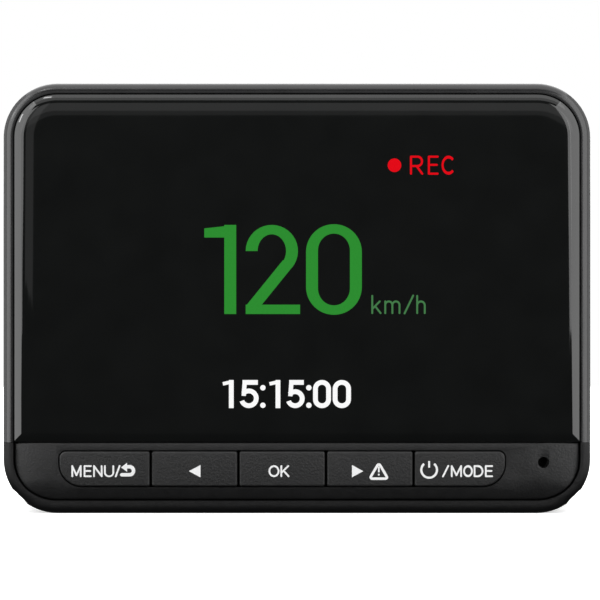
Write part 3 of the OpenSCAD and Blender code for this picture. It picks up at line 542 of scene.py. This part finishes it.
def on_pocket(v):
    """Whether a point of the strip's face lies on the edge of the pocket or of the microphone hole."""
    in_front = v.co.y < depth(PANEL_F + PANEL_T / 2)
    across = row_x0 - NEAR < v.co.x < row_x0 + row_w + NEAR and abs(v.co.z - KEY_Z) < KEY_H / 2 + NEAR
    return in_front and (across or hypot(v.co.x - MIC_X, v.co.z - MIC_Z) < MIC_R + NEAR)


folds = [e for e in strip.edges if len(e.link_faces) == 2 and e.calc_face_angle() > radians(50)]
bevel(strip, [e for e in folds if all(on_pocket(v) for v in e.verts)], POCKET_EDGE, 3)
piece("key_strip", strip, CASING, STRIP, ["key_panel"])


# ---- Print and lit shapes ----

INK_T = 0.02


def joined(first, *others):
    """Shapes that overlap, made one."""
    return cut_with(add(bmesh.new(), first), add(bmesh.new(), *others), operation="UNION", overlapping=True)


def inked(x, z, r, f, steps):
    """A dot."""
    return rod(x, z, r, f - INK_T / 2, f + INK_T / 2, steps)


def bar(x0, z0, x1, z1, width, f):
    """A straight stroke."""
    bm = bmesh.new()
    bmesh.ops.create_cube(bm, size=1)
    bmesh.ops.scale(bm, verts=bm.verts, vec=(hypot(x1 - x0, z1 - z0), INK_T, width))
    turn = Matrix.Rotation(-atan2(z1 - z0, x1 - x0), 3, "Y")
    bmesh.ops.rotate(bm, verts=bm.verts, cent=(0, 0, 0), matrix=turn)
    bmesh.ops.translate(bm, verts=bm.verts, vec=((x0 + x1) / 2, depth(f), (z0 + z1) / 2))
    return bm


def arc(x, z, radius, start, end, width, f, slim=0.0):
    """A curved stroke round (x, z), from one angle to another, in degrees anticlockwise from the right.

    slim makes the stroke thinner at its top and its foot."""
    bm = bmesh.new()
    corners = [(radius + side * width / 2, y) for side, y in ((-1, -1), (1, -1), (1, 1), (-1, 1))]
    ring = [bm.verts.new((x + r, depth(f) + y * INK_T / 2, z)) for r, y in corners]
    face = bm.faces.new(ring)
    turn = Matrix.Rotation(-radians(start), 3, "Y")
    bmesh.ops.rotate(bm, verts=bm.verts, cent=(x, 0, z), matrix=turn)
    bmesh.ops.spin(
        bm, geom=[face], cent=(x, 0, z), axis=(0, -1, 0), angle=radians(end - start), steps=24,
        use_duplicate=False,
    )
    inner = radius - width / 2
    for v in bm.verts:
        if hypot(v.co.x - x, v.co.z - z) < radius:
            v.co.z = z + (v.co.z - z) * (inner + slim) / inner
    bmesh.ops.recalc_face_normals(bm, faces=bm.faces)
    return bm


def ring_shape(x0, x1, z0, z1, r, width, f, slim=0.0):
    """A closed stroke along a rounded rectangle, thinner by slim at its top and its foot."""
    bm = slab(x0, x1, z0, z1, f - INK_T / 2, f + INK_T / 2, (r,) * 4)
    hollow(bm, f - INK_T / 2, f + INK_T / 2, width, width)
    middle_x, middle_z = (x0 + x1) / 2, (z0 + z1) / 2
    half_w, half_h = (x1 - x0) / 2 - width, (z1 - z0) / 2 - width
    for v in bm.verts:
        dx, dz = abs(v.co.x - middle_x), abs(v.co.z - middle_z)
        if dx < half_w + 0.001 and dz < half_h + 0.001:
            v.co.z = middle_z + (v.co.z - middle_z) * (half_h + slim) / half_h
    return bm


# Letters in a square of 1 by 1. Lines are (x0, z0, x1, z1).
LINES = {
    "M": [(0, 0, 0, 1), (0, 1, 0.5, 0.1), (0.5, 0.1, 1, 1), (1, 1, 1, 0)],
    "E": [(0, 0, 0, 1), (0, 1, 1, 1), (0, 0.52, 0.9, 0.52), (0, 0, 1, 0)],
    "N": [(0, 0, 0, 1), (0, 1, 1, 0), (1, 0, 1, 1)],
    "U": [(0, 0.36, 0, 1), (1, 0.36, 1, 1)],
    "K": [(0, 0, 0, 1), (0, 0.34, 0.95, 1), (0.3, 0.56, 1, 0)],
    "D": [(0, 0, 0, 1), (0, 1, 0.45, 1), (0, 0, 0.45, 0)],
    "R": [(0, 0, 0, 1), (0, 1, 0.62, 1), (0, 0.45, 0.62, 0.45), (0.5, 0.45, 1, 0)],
    "k": [(0, 0, 0, 1), (0, 0.24, 0.9, 0.68), (0.35, 0.4, 1, 0)],
    "m": [(0, 0, 0, 0.68), (0.5, 0, 0.5, 0.46), (1, 0, 1, 0.46)],
    "h": [(0, 0, 0, 1), (1, 0, 1, 0.44)],
    "/": [(0, -0.02, 1, 1.02)],
}
# Arcs are (x, z, radius across, radius up, start, end).
ARCS = {
    "U": [(0.5, 0.36, 0.5, 0.36, 180, 360)],
    "O": [(0.5, 0.5, 0.5, 0.5, 0, 360)],
    "D": [(0.45, 0.5, 0.55, 0.5, -90, 90)],
    "R": [(0.62, 0.725, 0.36, 0.275, -90, 90)],
    "C": [(0.5, 0.5, 0.5, 0.5, 42, 318)],
    "m": [(0.25, 0.46, 0.25, 0.22, 0, 180), (0.75, 0.46, 0.25, 0.22, 0, 180)],
    "h": [(0.5, 0.44, 0.5, 0.24, 0, 180)],
}
# Strokes that cross lie this much in front of each other, so that no two faces coincide.
STAGGER = 0.001


def through_edges(bm):
    """The edges that run from front to back."""
    return [e for e in bm.edges if abs(e.verts[0].co.y - e.verts[1].co.y) > INK_T / 2]


def stroke(x0, z0, x1, z1, width, f):
    """A straight stroke with round ends."""
    length = hypot(x1 - x0, z1 - z0)
    grow = width / 2 / length
    dx, dz = (x1 - x0) * grow, (z1 - z0) * grow
    bm = bar(x0 - dx, z0 - dz, x1 + dx, z1 + dz, width, f)
    bevel(bm, through_edges(bm), width * 0.49, 4)
    return bm


def letters(text, height, starts, widths, foot, f, weight):
    """Letters of plain strokes with round ends; each letter has its own left edge and width."""
    out = bmesh.new()
    high, low = height - weight, foot + weight / 2
    for letter, start, width in zip(text, starts, widths):
        left, wide = start + weight / 2, width - weight
        level = f
        for x0, z0, x1, z1 in LINES.get(letter, []):
            level -= STAGGER
            start_x, end_x = left + x0 * wide, left + x1 * wide
            start_z, end_z = low + z0 * high, low + z1 * high
            add(out, stroke(start_x, start_z, end_x, end_z, weight, level))
        for x, z, across, up, first, last in ARCS.get(letter, []):
            level -= STAGGER
            middle_x, middle_z, r = left + x * wide, low + z * high, across * wide
            curve = arc(middle_x, middle_z, r, first, last, weight, level)
            for v in curve.verts:
                v.co.z = middle_z + (v.co.z - middle_z) * (up * high + weight / 2) / (r + weight / 2)
            add(out, curve)
    return out


def triangle(x0, x1, z, height, f):
    """A filled triangle, its point at x1."""
    bm = bmesh.new()
    points = [(x0, z - height / 2), (x0, z + height / 2), (x1, z)]
    face = bm.faces.new([bm.verts.new((px, depth(f) - INK_T / 2, pz)) for px, pz in points])
    grown = bmesh.ops.extrude_face_region(bm, geom=[face])
    moved = [g for g in grown["geom"] if isinstance(g, bmesh.types.BMVert)]
    bmesh.ops.translate(bm, verts=moved, vec=(0, INK_T, 0))
    bmesh.ops.recalc_face_normals(bm, faces=bm.faces)
    return bm


# ---- Keys ----

LEGEND_H, LEGEND_Z, LEGEND_WIDTH = 1.7, 5.25, 0.25
ARROW_Z, ARROW_H = 6.1, 1.75
PRINT_F = KEY_F - 0.005


def legend(text, starts, widths):
    """A word on a key."""
    return letters(text, LEGEND_H, starts, widths, LEGEND_Z, PRINT_F, LEGEND_WIDTH)


def menu_print():
    """MENU and a hooked arrow that points back."""
    word = legend("MENU/", (-32.15, -30.4, -29.05, -27.5, -25.95), (1.45, 1.15, 1.34, 1.45, 0.8))
    x, z, hook_r, hook_w = -23.86, 6.16, 0.57, 0.5
    hook = arc(x, z, hook_r, -90, 90, hook_w, PRINT_F)
    upper = bar(x - 0.6, z + hook_r, x, z + hook_r, hook_w, PRINT_F)
    lower = bar(x - 1.1, z - hook_r, x, z - hook_r, hook_w, PRINT_F)
    tail = inked(x - 1.1, z - hook_r, hook_w / 2, PRINT_F, 16)
    head = triangle(x - 0.35, x - 1.2, z + hook_r - 0.08, 1.3, PRINT_F)
    return add(word, joined(hook, upper, lower, tail, head))


def left_print():
    """A triangle that points left."""
    return triangle(-13.75, -15.4, ARROW_Z, ARROW_H, PRINT_F)


def ok_print():
    """The word OK."""
    return legend("OK", (-4.05, -2.35), (1.56, 1.28))


def right_print():
    """A triangle that points right, and a rounded triangle with a mark of exclamation."""
    left, right, top, foot, corner_r, border = 10.05, 13.3, 7.62, 4.85, 0.75, 0.36
    middle = (left + right) / 2
    sign = triangle(0, top - foot, 0, right - left, PRINT_F)
    turn = Matrix.Rotation(radians(-90), 3, "Y")
    bmesh.ops.rotate(sign, verts=sign.verts, cent=(0, 0, 0), matrix=turn)
    bmesh.ops.translate(sign, verts=sign.verts, vec=(middle, 0, foot))
    bevel(sign, through_edges(sign), corner_r, 6)
    hollow(sign, PRINT_F - INK_T / 2, PRINT_F + INK_T / 2, border, border)
    stem = bar(middle, 5.95, middle, 6.75, 0.22, PRINT_F)
    dot = inked(middle, 5.6, 0.14, PRINT_F, 12)
    return add(triangle(7.85, 9.45, ARROW_Z, ARROW_H, PRINT_F), sign, stem, dot)


def mode_print():
    """A power mark and MODE."""
    x, z, r, width = 18.85, 6.28, 1.12, 0.31
    stem = bar(x, 6.6, x, 7.55, width * 0.9, PRINT_F)
    mark = add(arc(x, z, r, 130, 410, width, PRINT_F), stem)
    word = legend("/MODE", (20.7, 21.95, 23.7, 25.2, 26.8), (1.0, 1.58, 1.38, 1.38, 1.15))
    return add(mark, word)


PRINTS = {
    "menu": menu_print, "left": left_print, "ok": ok_print, "right": right_print, "mode": mode_print,
}
CAP_R, CAP_EDGE, FLANGE_REACH, STEM_R = 0.35, 0.28, 0.6, 1.2


def key_cap(x0, x1, radii):
    """A key with softly rounded edges, its flange behind the strip and its stem."""
    bm = slab(x0, x1, key_foot + KEY_GAP, key_top - KEY_GAP, KEY_F, FLANGE_F + WELD, radii)
    round_front(bm, KEY_F, CAP_EDGE, 5)
    reach = KEY_H / 2 + FLANGE_REACH
    add(bm, slab(x0 + 0.1, x1 - 0.1, KEY_Z - reach, KEY_Z + reach, FLANGE_F, FLANGE_F + FLANGE_T))
    return add(bm, rod((x0 + x1) / 2, KEY_Z, STEM_R, FLANGE_F + WELD, SWITCH_TOP_F))


outer_low, outer_top = KEY_R_LOW - KEY_GAP, KEY_R_TOP - KEY_GAP
left_edge = row_x0
for key, width in KEY_WIDTHS.items():
    x0 = left_edge + (KEY_GAP if key == "menu" else KEY_SLIT / 2)
    x1 = left_edge + width - (KEY_GAP if key == "mode" else KEY_SLIT / 2)
    radii = [CAP_R] * 4
    if key == "menu":
        radii[0], radii[3] = outer_low, outer_top
    if key == "mode":
        radii[1], radii[2] = outer_low, outer_top
    body = f"key_{key}_body"
    piece(f"cap_{key}", key_cap(x0, x1, radii), body, KEYS, [f"key_{key}"])
    piece(f"legend_{key}", PRINTS[key](), body, PRINT)
    left_edge += width


# ---- The screen's picture ----

PICTURE_F = -0.005
DIGIT_W, DIGIT_SLIM = 1.7, 0.36
DIGIT_FOOT, DIGIT_TOP = 28.5, 41.2
WORD_H, MARK_FOOT = 2.72, 48.35
FLAG_H, FLAG_SLOPE, BEND_AT = 1.8, 0.5, -39
CLOCK_W, CLOCK_FOOT, CLOCK_TOP = 0.68, 15.1, 19.1


def big_one(left, right):
    """The one: a stem, and a flag with a sloping top."""
    stem = bar(right - DIGIT_W / 2, DIGIT_FOOT, right - DIGIT_W / 2, DIGIT_TOP, DIGIT_W, PICTURE_F)
    flag = slab(left, right, DIGIT_TOP - FLAG_H, DIGIT_TOP, PICTURE_F - INK_T / 2, PICTURE_F + INK_T / 2)
    for v in flag.verts:
        if v.co.x < left + NEAR and v.co.z > DIGIT_TOP - NEAR:
            v.co.z -= FLAG_SLOPE
    return joined(stem, flag)


def big_two(left, right):
    """The two: an arch, a slope and a foot."""
    r = (right - left - DIGIT_W) / 2
    x, z = left + r + DIGIT_W / 2, DIGIT_TOP - r - DIGIT_W / 2
    bend = radians(BEND_AT)
    arch = arc(x, z, r, BEND_AT, 180, DIGIT_W, PICTURE_F, slim=DIGIT_SLIM)
    foot_w = DIGIT_W - DIGIT_SLIM
    foot_z = DIGIT_FOOT + foot_w / 2
    knee_x, knee_z = x + r * cos(bend), z + r * sin(bend)
    foot_x = knee_x + (knee_z - foot_z) * sin(bend) / cos(bend)
    slope = bar(knee_x, knee_z, foot_x, foot_z, DIGIT_W * 0.97, PICTURE_F)
    foot = bar(left, foot_z, right + 0.3, foot_z, foot_w, PICTURE_F)
    two = joined(arch, slope, foot)
    for v in two.verts:
        v.co.z = max(v.co.z, DIGIT_FOOT)
        v.co.x = max(v.co.x, left)
    return two


speed = big_one(-13.2, -8.65)
zero = ring_shape(
    1.3, 9.25, DIGIT_FOOT - 0.1, DIGIT_TOP + 0.1, 3.95, DIGIT_W, PICTURE_F, slim=DIGIT_SLIM,
)
add(speed, big_two(-7.3, 0.15), zero)
piece("picture_speed", speed, CASING, GREEN)
unit_starts, unit_widths = (10.6, 12.45, 15.2, 17.0), (1.45, 2.3, 1.5, 1.35)
unit = letters("km/h", WORD_H, unit_starts, unit_widths, DIGIT_FOOT, PICTURE_F, 0.27)
piece("picture_unit", unit, CASING, DIM_GREEN)
piece("picture_dot", inked(13.9, 49.7, 0.975, PICTURE_F, 48), CASING, RED)
mark = letters("REC", WORD_H, (16.1, 18.65, 20.6), (1.9, 1.55, 2.0), MARK_FOOT, PICTURE_F, 0.3)
piece("picture_mark", mark, CASING, RED)


def small_one(x):
    """The clock's one, its stem at x."""
    stem = bar(x, CLOCK_FOOT, x, CLOCK_TOP, CLOCK_W, PICTURE_F)
    return joined(stem, bar(x - 1.2, CLOCK_TOP - 0.55, x + 0.1, CLOCK_TOP - 0.25, 0.5, PICTURE_F))


def small_five(left, right):
    """The clock's five: a cap, a neck and a bow."""
    r = (right - left) / 2 - CLOCK_W / 2 + 0.12
    x, z = right - r - CLOCK_W / 2, CLOCK_FOOT + r + CLOCK_W / 2
    cap_z = CLOCK_TOP - CLOCK_W / 2
    cap = bar(left + 0.25, cap_z, right - 0.12, cap_z, CLOCK_W, PICTURE_F)
    neck = bar(left + 0.58, CLOCK_TOP - 0.1, left + 0.42, z + 0.35, CLOCK_W * 0.9, PICTURE_F)
    return joined(arc(x, z, r, -160, 140, CLOCK_W, PICTURE_F), cap, neck)


def small_zero(left, right):
    """The clock's zero."""
    r = (right - left) / 2 - 0.02
    return ring_shape(left, right, CLOCK_FOOT, CLOCK_TOP, r, CLOCK_W, PICTURE_F)


def colon(x):
    """The clock's two dots."""
    return add(*[inked(x, z, 0.39, PICTURE_F, 20) for z in (15.5, 18.0)])


clock = small_one(-9.35)
add(clock, small_five(-8.0, -5.45), colon(-4.85), small_one(-2.7), small_five(-1.35, 1.1))
add(clock, colon(1.7), small_zero(2.3, 4.85), small_zero(5.1, 7.7))
piece("picture_clock", clock, CASING, WHITE)


# ---- Road side ----

def on_road_side(profile, steps):
    """Turns a line of (radius, height over the road-side face) points round the camera's axis."""
    return lathe(CAMERA_X, ROAD_Z, [(r, BODY_D + rise) for r, rise in profile], steps)


# From the neck in the shell, over the ring's crown, down the steps inside it and back.
ring_profile = [
    (10.9, -3.0), (10.9, 0), (12.7, 0), (13.0, 0.3), (13.0, 2.9), (12.8, 3.5), (12.3, 3.9), (11.6, 4.0),
    (11.0, 3.9), (10.7, 3.6), (10.3, 3.1), (10.1, 3.05), (9.9, 2.7), (9.6, 2.3), (9.4, 2.25), (9.2, 1.9),
    (8.9, 1.5), (8.7, 1.45), (8.1, 0.8), (8.05, -0.8), (7.1, -0.8), (7.1, -3.0), (10.9, -3.0),
]
camera_ring = on_road_side(ring_profile, 96)
piece("lens_ring", camera_ring, CASING, GLOSS, ["camera_ring"], smooth=25)
glass_profile = [(0, -0.8), (7.9, -0.8), (8.0, -0.7), (8.0, 0.2), (7.85, 0.4), (0, 0.4)]
front_glass = on_road_side(glass_profile, 72)
piece("lens_cover", front_glass, CASING, LENS, ["camera_glass"], smooth=25)


# Plain CAD shapes that show, with their edges softened.
carried = (
    ("shell", "front_shell", 0.22, CASING, SHELL, "shell_plastic"),
    ("laser_cover", "laser_window", 0.15, CASING, LASER, "laser_plastic"),
    ("card", "memory_card", 0.12, "card", BLACK, "black_plastic"),
    ("socket_shell", "usb_socket", 0.06, CASING, STEEL, "steel"),
)
for name, node, width, body, material, slot in carried:
    piece(name, softened(node, width), body, material, [node], smooth=22, flat_above=60)


# ---- Floor, lights and camera ----

def soft_light(name, place_mm, aim_mm, size, radiance):
    """A soft box that looks at a point. Its power follows from its size and how bright its face is."""
    lamp = bpy.data.lights.new(name, "AREA")
    lamp.shape = "RECTANGLE"
    lamp.size, lamp.size_y = size[0] * MM, size[1] * MM
    lamp.energy = radiance * pi * lamp.size * lamp.size_y
    obj = bpy.data.objects.new(name, lamp)
    spot, aim = Vector(place_mm) * MM, Vector(aim_mm) * MM
    obj.location = spot
    obj.rotation_euler = (aim - spot).to_track_quat("-Z", "Y").to_euler()
    obj.visible_camera = False
    bpy.context.scene.collection.objects.link(obj)


# The large boxes, which the rim and the cover's bevel reflect.
soft_light("left_box", (-420, -390, 250), (0, -390, 250), (520, 660), 3.7)
soft_light("right_box", (420, -590, 250), (0, -590, 250), (920, 660), 3.4)
for side in (-1, 1):
    soft_light("side_box", (side * 420, 75, 250), (0, 75, 250), (410, 660), 1.4)
soft_light("top_box", (0, -10, 520), (0, -10, 0), (800, 850), 2.1)
# Panels before the object, which the cover's bevel and the easing inside it reflect.
COVER_TOP = (0, FACE_Y, 57)
soft_light("front_upper", (0, -458, 466), COVER_TOP, (900, 115), 1.15)
soft_light("front_panel", (0, -599, 210), COVER_TOP, (900, 110), 0.55)
soft_light("front_step", (0, -613, 143), COVER_TOP, (900, 26), 0.22)
soft_light("left_edge", (-350, -669, 180), (-40, -19, 180), (140, 480), 3.0)
soft_light("right_edge", (262, -704, 180), (40, -19, 180), (75, 480), 3.0)
soft_light("left_strip", (-242, -919, 230), (-40, -19, 230), (98, 440), 0.38)
# Small lamps for the two glints, and a box for the road side.
soft_light("corner_lamp", (-311, -228, 205), (-37, -19, 57), (25, 60), 12.0)
soft_light("upper_lamp", (-134, -237, 347), (-37, -19, 58), (60, 25), 12.0)
soft_light("back_box", (0, 520, 300), (0, 15, 30), (700, 500), 2.2)

# Plain white behind the object, and next to no light from all round.
world = bpy.data.worlds.new("studio")
bpy.context.scene.world = world
world.use_nodes = True
tree = world.node_tree
backdrop = tree.nodes["Background"]
backdrop.inputs["Color"].default_value = (1, 1, 1, 1)
backdrop.inputs["Strength"].default_value = 1.0
dim = tree.nodes.new("ShaderNodeBackground")
dim.inputs["Color"].default_value = (0.8, 0.85, 0.9, 1)
dim.inputs["Strength"].default_value = 0.05
seen = tree.nodes.new("ShaderNodeLightPath")
mix = tree.nodes.new("ShaderNodeMixShader")
tree.links.new(seen.outputs["Is Camera Ray"], mix.inputs["Fac"])
tree.links.new(dim.outputs["Background"], mix.inputs[1])
tree.links.new(backdrop.outputs["Background"], mix.inputs[2])
tree.links.new(mix.outputs["Shader"], tree.nodes["World Output"].inputs["Surface"])

FLOOR_HALF, FLOOR_GLOW = 450, 0.5
floor_mesh = bpy.data.meshes.new("floor")
bm = bmesh.new()
bmesh.ops.create_grid(bm, x_segments=1, y_segments=1, size=FLOOR_HALF * MM)
bm.to_mesh(floor_mesh)
bm.free()
pale = moulded("floor_white", (0.8, 0.8, 0.8), 0.8, 3.0, 0.01, vary=0.01)
pale_shader = pale.node_tree.nodes["Principled BSDF"]
pale_shader.inputs["Emission Color"].default_value = (1, 1, 1, 1)
pale_shader.inputs["Emission Strength"].default_value = FLOOR_GLOW
floor_mesh.materials.append(pale)
floor = bpy.data.objects.new("floor", floor_mesh)
bpy.context.scene.collection.objects.link(floor)
floor.visible_glossy = False
floor.visible_diffuse = False

# The camera stands straight before the screen; FRAME_WIDTH is how much it sees across at the keys.
FRAME_WIDTH, CAMERA_SIDE, CAMERA_Z = 85.75, 0.44, 30.5
lens = bpy.data.cameras.new("camera")
lens.lens = 135
lens.sensor_width = 36
lens.clip_start = 0.01
distance = FRAME_WIDTH * lens.lens / lens.sensor_width
camera = bpy.data.objects.new("camera", lens)
camera.location = Vector((CAMERA_SIDE, FACE_Y + 1 - distance, CAMERA_Z)) * MM
camera.rotation_euler = (radians(90), 0, 0)
bpy.context.scene.collection.objects.link(camera)
bpy.context.scene.camera = camera
bpy.context.scene.view_settings.view_transform = "Standard"
